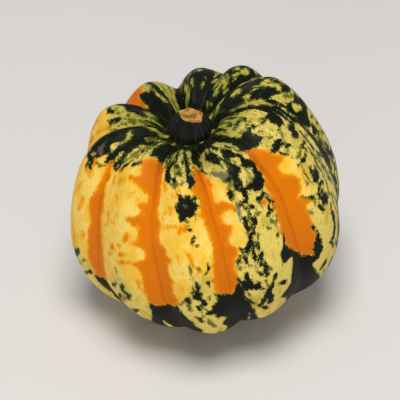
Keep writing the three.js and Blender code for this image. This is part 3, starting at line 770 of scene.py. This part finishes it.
def smooth_ramp(value, start, end):
    """0 before start and 1 after end, with an even change between them."""
    share = np.clip((value - start) / (end - start), 0, 1)
    return share * share * (3 - 2 * share)


def mix(start, end, share):
    return start + (end - start) * share


def along_meridian(values, latitude):
    """The value at a latitude, on a smooth curve that is level at both ends."""
    values = np.array(values, float)
    last = len(values) - 1
    place = (90 - latitude) / MERIDIAN_STEP
    start = np.minimum(np.floor(place), last - 1).astype(int)
    t = place - start
    before, here, after, beyond = (
        values[np.where(i > last, 2 * last - i, abs(i))] for i in (start - 1, start, start + 1, start + 2)
    )
    cube = 3 * (here - after) + beyond - before
    square = 2 * before - 5 * here + 4 * after - beyond
    return here + t * (after - before + t * (square + t * cube)) / 2


def rib_height(across):
    """How high a rib stands: 0 in a furrow and 1 on its crown. across is -1 and 1 at its furrows."""

    def soften(share):
        return np.hypot(share, FURROW_SOFTNESS) - FURROW_SOFTNESS

    inwards = soften(1 - abs(across)) / soften(1)
    return 1 - (1 - inwards) ** RIB_ROUNDNESS


def of_rib(n, measure):
    return RIBS[n % len(RIBS), measure]


def furrow_longitude(n, latitude):
    turns = n // len(RIBS)
    return of_rib(n, FURROW) + 360 * turns + of_rib(n, SLANT) * np.sin(np.radians(latitude))


def bulge(n, latitude):
    off_shoulder = (latitude - SHOULDER_LATITUDE) / SHOULDER_SPREAD
    return of_rib(n, REACH) * np.cos(np.radians(latitude)) + of_rib(n, SHOULDER) * np.exp(-(off_shoulder**2))


def skin_points(ribs_round, latitude):
    """Places on the skin in mm from the fruit's middle, before it leans."""
    ribs_round, latitude = np.broadcast_arrays(np.asarray(ribs_round, float), np.asarray(latitude, float))
    n = np.floor(ribs_round).astype(int)
    share = ribs_round - n
    start_bulge = (bulge(n - 1, latitude) + bulge(n, latitude)) / 2
    end_bulge = (bulge(n, latitude) + bulge(n + 1, latitude)) / 2
    plain_crown = along_meridian(CROWN, latitude)
    depth_share = mix(of_rib(n, DEPTH), of_rib(n + 1, DEPTH), share)
    plain_furrow = plain_crown - along_meridian(FURROW_DEPTH, latitude) * depth_share
    crown = plain_crown * (1 + bulge(n, latitude))
    furrow = plain_furrow * (1 + mix(start_bulge, end_bulge, share))
    distance = mix(furrow, crown, rib_height(2 * share - 1))

    longitude = np.radians(mix(furrow_longitude(n, latitude), furrow_longitude(n + 1, latitude), share))
    radius = distance * np.cos(np.radians(latitude))
    height = distance * np.sin(np.radians(latitude))
    seated = np.where(latitude > 0, 1 - smooth_ramp(radius, SEAT_RADIUS, SEAT_EDGE_RADIUS), 0)
    height = mix(height, SEAT_HEIGHT, seated)
    return np.stack([radius * np.cos(longitude), radius * np.sin(longitude), height], -1)


def leaned(points):
    """Places in mm from the fruit's middle, as the fruit stands."""
    lean = math.radians(LEAN)
    sideways = (math.cos(lean), 0, -math.sin(lean))
    up = (math.sin(lean), 0, math.cos(lean))
    return points @ np.array([sideways, (0, 1, 0), up]).T


def pressed_flat(points):
    """Places in mm from the middle of the standing fruit, with its lowest skin flat on the floor."""
    points[:, 2] = np.maximum(points[:, 2], -MIDDLE[2] / MM)
    return points


# ---- Laying the marks on ----


def inside(outline, ribs_round, latitude):
    """Which places are inside an outline."""
    result = np.zeros(len(ribs_round), bool)
    for (x0, y0), (x1, y1) in zip(outline, outline[1:] + outline[:1]):
        crosses = (y0 > latitude) != (y1 > latitude)
        reach = x0 + (latitude - y0) / ((y1 - y0) or 1) * (x1 - x0)
        result ^= crosses & (ribs_round < reach)
    return result


def depth_in_segment(places, start, end, start_width, end_width):
    """How deep places are inside a tapered round-ended segment, and below 0 outside it."""
    along = end - start
    share = np.clip((places - start) @ along / max(along @ along, 1e-9), 0, 1)
    off = np.linalg.norm(places - start - share[:, None] * along, axis=1)
    return mix(start_width, end_width, share) - off


def depth_in_stroke(spots, widths, places):
    """How deep places are inside a stroke, in mm, by its spots on the skin and half widths."""
    segments = zip(spots, spots[1:], widths, widths[1:])
    return np.max([depth_in_segment(places, *segment) for segment in segments], axis=0)


def depth_in_patch(outline, spots, ribs_round, latitude, places):
    """How deep places are inside a patch, in mm, by its outline and that outline's spots on the skin."""
    edge = depth_in_stroke([*spots, spots[0]], [0] * (len(spots) + 1), places)
    middle = sum(point[0] for point in outline) / len(outline)
    count = len(RIBS)
    unrolled = middle + (ribs_round - middle + count / 2) % count - count / 2
    return np.where(inside(outline, unrolled, latitude), -edge, edge)


def green_depth(ribs_round, latitude, grain):
    """How deep each place is in the green that mottles the ribs at the back."""
    share = smooth_ramp(ribs_round, *GREEN_START) * smooth_ramp(ribs_round, *GREEN_END)
    share *= smooth_ramp(latitude, *GREEN_TOP)
    pattern = np.array([noise.fractal(Vector(spot), 0.9, 2.3, 2) for spot in grain / GREEN_SIZE])
    return mix(-REACH_OF_MARKS, GREEN_DEPTH * pattern - GREEN_GAP, share)


def lay_marks(ribs_round, latitude, places):
    """How deep each place is in each paint, with later marks over earlier ones."""
    depths = {paint: np.full(len(places), -float(REACH_OF_MARKS)) for paint in PAINTS}
    for paint, points in MARKS:
        spots = skin_points([point[0] for point in points], [point[1] for point in points])
        widths = [point[2] for point in points if len(point) == 3]
        reach = REACH_OF_MARKS + max(widths, default=0)
        near = np.all((places > spots.min(0) - reach) & (places < spots.max(0) + reach), axis=1)
        if widths:
            depth = depth_in_stroke(spots, widths, places[near])
        else:
            depth = depth_in_patch(points, spots, ribs_round[near], latitude[near], places[near])
        if paint in ("pale", "orange"):
            for under in ("dark", "olive", "orange"):
                depths[under][near] = np.minimum(depths[under][near], -depth)
        if paint != "pale":
            depths[paint][near] = np.maximum(depths[paint][near], depth)
    return depths


# ---- Modelling ----


def deselect_all():
    bpy.ops.object.select_all(action="DESELECT")


def vertex_places(piece):
    """A piece's vertices as an array of places."""
    places = np.empty(len(piece.data.vertices) * 3)
    piece.data.vertices.foreach_get("co", places)
    return places.reshape(-1, 3)


def set_vertex_places(piece, places):
    piece.data.vertices.foreach_set("co", places.ravel())
    piece.data.update()


def store(piece, name, values):
    """Keeps one number or one vector at each vertex, for the material to read."""
    kind, key = ("FLOAT", "value") if values.ndim == 1 else ("FLOAT_VECTOR", "vector")
    attribute = piece.data.attributes.new(name, kind, "POINT")
    attribute.data.foreach_set(key, values.astype(np.float32).ravel())


def swells(places):
    """The slight unevenness of a grown skin, in mm outwards."""
    return np.array(
        [sum(height * noise.noise(Vector(place) / size) for size, height in SWELLS) for place in places]
    )


def make_fruit():
    """The whole fruit, as one closed skin whose marks are kept at its vertices."""
    deselect_all()
    bpy.ops.mesh.primitive_uv_sphere_add(segments=COLUMNS, ring_count=RINGS, radius=1)
    fruit = bpy.context.object
    fruit.name = "squash_skin"
    bpy.ops.object.mode_set(mode="EDIT")
    bpy.ops.mesh.subdivide(number_cuts=CUTS)
    bpy.ops.object.mode_set(mode="OBJECT")
    x, y, z = vertex_places(fruit).T
    latitude = np.degrees(np.arctan2(z, np.hypot(x, y)))
    ribs_round = (np.degrees(np.arctan2(y, x)) % 360) / 360 * len(RIBS)

    places = skin_points(ribs_round, latitude)
    turn = ribs_round / len(RIBS) * math.tau
    grain = np.stack([GIRTH * np.cos(turn), GIRTH * np.sin(turn), np.radians(latitude) * GIRTH], -1)
    depths = lay_marks(ribs_round, latitude, places)
    depths["dark"] = np.maximum(depths["dark"], green_depth(ribs_round, latitude, grain))
    store(fruit, "grain", grain)
    for paint, depth in depths.items():
        store(fruit, paint, depth)

    outwards = places / np.linalg.norm(places, axis=1)[:, None]
    places = pressed_flat(leaned(places + outwards * swells(places)[:, None]))
    set_vertex_places(fruit, places * MM + MIDDLE)
    bpy.ops.object.shade_smooth()
    return fruit


def make_stem():
    """The dry stub of stem: a ridged, swollen foot that ends in a broken star."""
    deselect_all()
    foot_height, foot_radius = STEM_RINGS[0]
    bpy.ops.mesh.primitive_circle_add(
        vertices=STEM_SIDES, radius=foot_radius, fill_type="NGON", location=(0, 0, foot_height)
    )
    stem = bpy.context.object
    stem.name = "stem_stub"
    bpy.ops.object.transform_apply()
    bpy.ops.object.mode_set(mode="EDIT")
    for (height, radius), (next_height, next_radius) in zip(STEM_RINGS, STEM_RINGS[1:]):
        bpy.ops.mesh.extrude_region_move(TRANSFORM_OT_translate={"value": (0, 0, next_height - height)})
        bpy.ops.transform.resize(value=(next_radius / radius, next_radius / radius, 1))
    bpy.ops.mesh.merge(type="CENTER")
    bpy.ops.mesh.select_all(action="SELECT")
    bpy.ops.mesh.normals_make_consistent(inside=False)
    bpy.ops.object.mode_set(mode="OBJECT")

    x, y, height = vertex_places(stem).T
    radius = np.hypot(x, y)
    directions, distances = zip(*STEM_STAR)
    star = np.interp(np.degrees(np.arctan2(y, x)), directions, distances, period=360) / STEM_BREAK_RADIUS
    girth = mix(1, star, smooth_ramp(height, STEM_STAR_START, STEM_BREAK_HEIGHT))
    on_break = (height > STEM_BREAK_HEIGHT - STEM_BREAK_DIP) & (radius < STEM_BREAK_RADIUS)
    spots = np.stack([x * SPLINTERS_PER_MM, y * SPLINTERS_PER_MM, np.full(len(x), SPLINTER_SLICE)], -1)
    splinters = np.array([noise.noise(Vector(spot)) for spot in spots])
    height = height + np.where(on_break, splinters * SPLINTER_HEIGHT, 0)
    round_axis = FIBRE_GIRTH / (radius + AXIS_GAP)
    store(stem, "on_break", on_break.astype(float))
    store(stem, "height", height)
    store(stem, "fibre", np.stack([x * round_axis, y * round_axis, radius + height], -1))
    foot = leaned(np.array([0, 0, STEM_HEIGHT_ABOVE_MIDDLE]))
    places = np.stack([x * girth, y * girth, height], -1)
    set_vertex_places(stem, (places + foot) * MM + MIDDLE)
    bpy.ops.object.shade_smooth_by_angle(angle=math.radians(STEM_CREASE_ANGLE))
    return stem


# ---- Materials ----


def colour(code):
    """An sRGB hex colour as the linear colour that a socket takes."""
    channels = [int(code[i : i + 2], 16) / 255 for i in (1, 3, 5)]
    return [c / 12.92 if c <= 0.04045 else ((c + 0.055) / 1.055) ** 2.4 for c in channels] + [1]


def new_material(name):
    material = bpy.data.materials.new(name)
    material.use_nodes = True
    material.node_tree.nodes.clear()
    return material


def add(material, kind, links, **settings):
    """Adds a node with its settings, fills its inputs by name or number, and gives its outputs."""
    node = material.node_tree.nodes.new("ShaderNode" + kind)
    for name, value in settings.items():
        setattr(node, name, value)
    for name, value in links.items():
        if isinstance(value, bpy.types.NodeSocket):
            material.node_tree.links.new(value, node.inputs[name])
        else:
            node.inputs[name].default_value = value
    return node.outputs


def grain_noise(rind, size, stretch, detail, seed):
    """Noise from -0.5 to 0.5 with features of a size in mm, drawn out along the ribs by stretch."""
    grain = add(rind, "Attribute", {}, attribute_name="grain")["Vector"]
    scale = (1 / size, 1 / size, 1 / size / stretch)
    place = add(rind, "Mapping", {"Vector": grain, "Location": (seed, seed, seed), "Scale": scale})[0]
    noise_settings = {"Vector": place, "Scale": 1.0, "Detail": detail, "Roughness": 0.6}
    pattern = add(rind, "TexNoise", noise_settings)[0]
    return add(rind, "Math", {0: pattern, 1: 0.5}, operation="SUBTRACT")[0]


def ragged(rind, paint, *raggedness):
    """A paint's depth with its edge broken up by noises, each a strength in mm and a noise."""
    depth = add(rind, "Attribute", {}, attribute_name=paint)["Fac"]
    for strength, pattern in raggedness:
        depth = add(rind, "Math", {0: pattern, 1: strength, 2: depth}, operation="MULTIPLY_ADD")[0]
    return depth


def coat(material, under, amount, start, end, over):
    """A colour laid over another: none of it where the amount is at start, and all of it at end."""
    under, over = (colour(c) if isinstance(c, str) else c for c in (under, over))
    ramp = {"Value": amount, "From Min": start, "From Max": end}
    share = add(material, "MapRange", ramp, interpolation_type="SMOOTHSTEP")[0]
    return add(material, "Mix", {0: share, 6: under, 7: over}, data_type="RGBA")[2]


def squash_rind():
    """Rind: a hard, waxy plant skin, grown and not cut. Soft light gives its wax only a faint, broad shine,
    to which a grey painted sheen is added. Its pigments lie in crisp green streaks over pale yellow, and in
    soft orange where it has ripened, with painted shade in the creases and towards the stem."""
    rind = new_material("squash_rind")
    blotches = grain_noise(rind, size=8, stretch=1.5, detail=2.0, seed=3)
    clouds = grain_noise(rind, size=3.2, stretch=1.3, detail=3.0, seed=7)
    streaks = grain_noise(rind, size=1.2, stretch=2.2, detail=3.0, seed=13)
    flecks = grain_noise(rind, size=0.8, stretch=1.3, detail=2.0, seed=29)

    # Each paint's edge, which is crisp where the green is and soft where the rind has turned.
    dark = ragged(rind, "dark", (3.5, clouds), (1.8, streaks), (3, flecks))
    olive = ragged(rind, "olive", (3.5, clouds), (1.8, streaks), (3, flecks))
    orange = ragged(rind, "orange", (3.5, clouds), (2, streaks), (1, flecks))
    amber = ragged(rind, "amber", (5, clouds), (4, streaks), (2, flecks))
    turned = ragged(rind, "turned", (6, blotches), (4, clouds), (2, streaks))
    smudge = ragged(rind, "smudge", (3, clouds), (2, streaks))
    scar = ragged(rind, "scar", (2, clouds), (1.5, flecks))
    crease = ragged(rind, "crease", (1, clouds), (1, streaks))

    # The pale yellow between the streaks, which is duller at the back and towards the stem. Towards the stem
    # that is partly a greener tint and partly painted shade on the tops, which the overhead lamp lights
    # most. Green flecks lie in it.
    grain = add(rind, "Attribute", {}, attribute_name="grain")["Vector"]
    frontwards, upwards = add(rind, "SeparateXYZ", {0: grain})[1:]
    pale = coat(rind, "#F0D468", blotches, -0.04, 0.2, "#CDB646")
    pale = coat(rind, pale, clouds, 0.04, 0.22, "#E6C040")
    pale = coat(rind, pale, frontwards, 5, -25, "#D0BC48")
    pale = coat(rind, pale, upwards, 54, 68, "#BEB24A")
    green_fleck = add(rind, "Math", {0: streaks, 1: 0.6, 2: flecks}, operation="MULTIPLY_ADD")[0]
    greening = add(rind, "Math", {0: upwards, 1: 0.002, 2: green_fleck}, operation="MULTIPLY_ADD")[0]
    pale = coat(rind, pale, greening, 0.1, 0.26, "#989638")
    pale = coat(rind, pale, greening, 0.21, 0.34, "#626C22")

    # The cream that has turned, with amber in it, and the orange of the bands, deepest in the creases, where
    # painted shade darkens it.
    cream = coat(rind, "#FFD968", blotches, -0.16, 0.16, "#FBC63C")
    cream = coat(rind, cream, streaks, 0.05, 0.22, "#F6B630")
    cream = coat(rind, cream, clouds, 0.07, 0.26, "#F6AC20")
    base = coat(rind, pale, turned, -1.2, 1.2, cream)
    base = coat(rind, base, amber, -1, 1, "#F4A20A")
    deep = coat(rind, "#EA8300", orange, 0.3, 2.2, "#E27800")
    deep = coat(rind, deep, crease, -1.2, 1.6, "#C45A00")
    base = coat(rind, base, orange, -1.4, 0, "#F6A60A")
    base = coat(rind, base, orange, -0.4, 0.5, deep)

    # Over them lie the grey painted sheen, which is a painted highlight, then the olive, the dark with its
    # greener edge and dim flecks, and the scars.
    base = coat(rind, base, smudge, -0.8, 1, "#76744C")
    base = coat(rind, base, olive, -0.7, 0.6, "#66701F")
    base = coat(rind, base, dark, -0.9, 0.1, "#586420")
    night = coat(rind, "#11150C", greening, 0.14, 0.4, "#34401A")
    base = coat(rind, base, dark, -0.5, 0.5, night)
    base = coat(rind, base, scar, -0.6, 0.6, "#5C5340")

    # All these colours are darker towards the stem: painted shade on the upward-facing tops, which the
    # overhead lamp lights more than the sides.
    painted_top_shade = {"Value": upwards, "From Min": 15, "From Max": 55, "To Min": 1.0, "To Max": 0.72}
    base = add(rind, "VectorMath", {0: base, "Scale": add(rind, "MapRange", painted_top_shade)[0]}, operation="SCALE")[0]

    pores = grain_noise(rind, size=0.7, stretch=1, detail=2.0, seed=41)
    dents = grain_noise(rind, size=5, stretch=1.2, detail=3.0, seed=53)
    height = add(rind, "Math", {0: pores, 1: 0.25, 2: dents}, operation="MULTIPLY_ADD")[0]
    normal = add(rind, "Bump", {"Strength": 0.35, "Distance": 0.0006, "Height": height})[0]
    dullness = {"Value": scar, "From Min": -0.6, "From Max": 0.6, "To Min": 0.5, "To Max": 0.75}
    roughness = add(rind, "MapRange", dullness)[0]
    finish = {"Base Color": base, "Roughness": roughness, "Specular IOR Level": 0.08, "Normal": normal}
    add(rind, "OutputMaterial", {"Surface": add(rind, "BsdfPrincipled", finish)[0]})
    return rind


def dried_stem():
    """A dried, corky stalk, snapped off. It is matt all over: nearly black outside with fine paler
    fibres along it, rusty where it joins the rind, and bare straw-coloured wood across the break."""
    stalk = new_material("dried_stem")
    fibre = add(stalk, "Attribute", {}, attribute_name="fibre")["Vector"]
    # Fibres half a millimetre wide and 6 long.
    along = add(stalk, "Mapping", {"Vector": fibre, "Scale": (1 / 0.5, 1 / 0.5, 1 / 6)})[0]
    fibres = add(stalk, "TexNoise", {"Vector": along, "Scale": 1.0, "Detail": 3.0})[0]
    place = add(stalk, "TexCoord", {})["Object"]
    lumps = add(stalk, "TexNoise", {"Vector": place, "Scale": 1 / (2.5 * MM), "Detail": 3.0})[0]
    height = add(stalk, "Attribute", {}, attribute_name="height")["Fac"]
    on_break = add(stalk, "Attribute", {}, attribute_name="on_break")["Fac"]

    bark = coat(stalk, "#151511", fibres, 0.48, 0.72, "#38372E")
    foot = add(stalk, "Math", {0: lumps, 1: -2.5, 2: height}, operation="MULTIPLY_ADD")[0]
    bark = coat(stalk, bark, foot, 0.6, -0.6, "#7A4420")
    wood = coat(stalk, "#8A5C26", lumps, 0.38, 0.62, "#B98F42")
    wood = coat(stalk, wood, fibres, 0.55, 0.75, "#DDB878")
    base = coat(stalk, bark, on_break, 0.4, 0.6, wood)

    relief = add(stalk, "Math", {0: lumps, 1: 0.6, 2: fibres}, operation="MULTIPLY_ADD")[0]
    normal = add(stalk, "Bump", {"Strength": 0.9, "Distance": 0.0008, "Height": relief})[0]
    finish = {"Base Color": base, "Roughness": 0.8, "Specular IOR Level": 0.1, "Normal": normal}
    add(stalk, "OutputMaterial", {"Surface": add(stalk, "BsdfPrincipled", finish)[0]})
    return stalk


def pale_board():
    """Matt painted board: smooth and even, with no shine of its own."""
    board = new_material("pale_board")
    finish = {"Base Color": colour("#D2CDC7"), "Roughness": 0.9}
    add(board, "OutputMaterial", {"Surface": add(board, "BsdfPrincipled", finish)[0]})
    return board


# ---- The studio, in metres, degrees and watts ----

CAMERA_ELEVATION = 44.6
CAMERA_DISTANCE = 0.838
CAMERA_LENS = 156
CAMERA_SHIFT = (-0.0055, -0.043)
FLOOR_SIZE = 6

# Each square soft lamp's name, place, size and power. They all face LIT_SPOT.
LAMPS = (("overhead", (0, -0.2, 1.2), 0.5, 12.9), ("low_fill", (-0.35, -1.35, 0.45), 0.8, 3))
LIT_SPOT = Vector((0, 0, 0.05))
ROOM_COLOUR = "#EBF1FF"
ROOM_STRENGTH = 0.37


def make_camera():
    camera = bpy.data.objects.new("camera", bpy.data.cameras.new("camera"))
    bpy.context.scene.collection.objects.link(camera)
    elevation = math.radians(CAMERA_ELEVATION)
    back = Vector((0, -math.cos(elevation), math.sin(elevation)))
    camera.location = Vector(MIDDLE) + back * CAMERA_DISTANCE
    camera.rotation_euler = (math.radians(90 - CAMERA_ELEVATION), 0, 0)
    camera.data.lens = CAMERA_LENS
    camera.data.shift_x, camera.data.shift_y = CAMERA_SHIFT
    bpy.context.scene.camera = camera


def make_floor():
    deselect_all()
    bpy.ops.mesh.primitive_plane_add(size=FLOOR_SIZE, location=(0, 0, 0))
    floor = bpy.context.object
    floor.name = "floor"
    floor.data.materials.append(pale_board())


def light_studio():
    """The lamps, and the even light of the room round them."""
    for name, place, size, power in LAMPS:
        lamp = bpy.data.objects.new(name, bpy.data.lights.new(name, "AREA"))
        bpy.context.scene.collection.objects.link(lamp)
        lamp.location = place
        lamp.rotation_euler = (LIT_SPOT - Vector(place)).to_track_quat("-Z", "Y").to_euler()
        lamp.data.size = size
        lamp.data.energy = power
    room = bpy.data.worlds.new("studio")
    room.use_nodes = True
    background = room.node_tree.nodes["Background"]
    background.inputs["Color"].default_value = colour(ROOM_COLOUR)
    background.inputs["Strength"].default_value = ROOM_STRENGTH
    bpy.context.scene.world = room
    bpy.context.scene.view_settings.view_transform = "Standard"


# ---- Putting it together ----

make_camera()
make_floor()
light_studio()

fruit = make_fruit()
fruit.data.materials.append(squash_rind())
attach(fruit, "root")
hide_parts("squash_body")

stem = make_stem()
stem.data.materials.append(dried_stem())
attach(stem, "root")
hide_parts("stem")
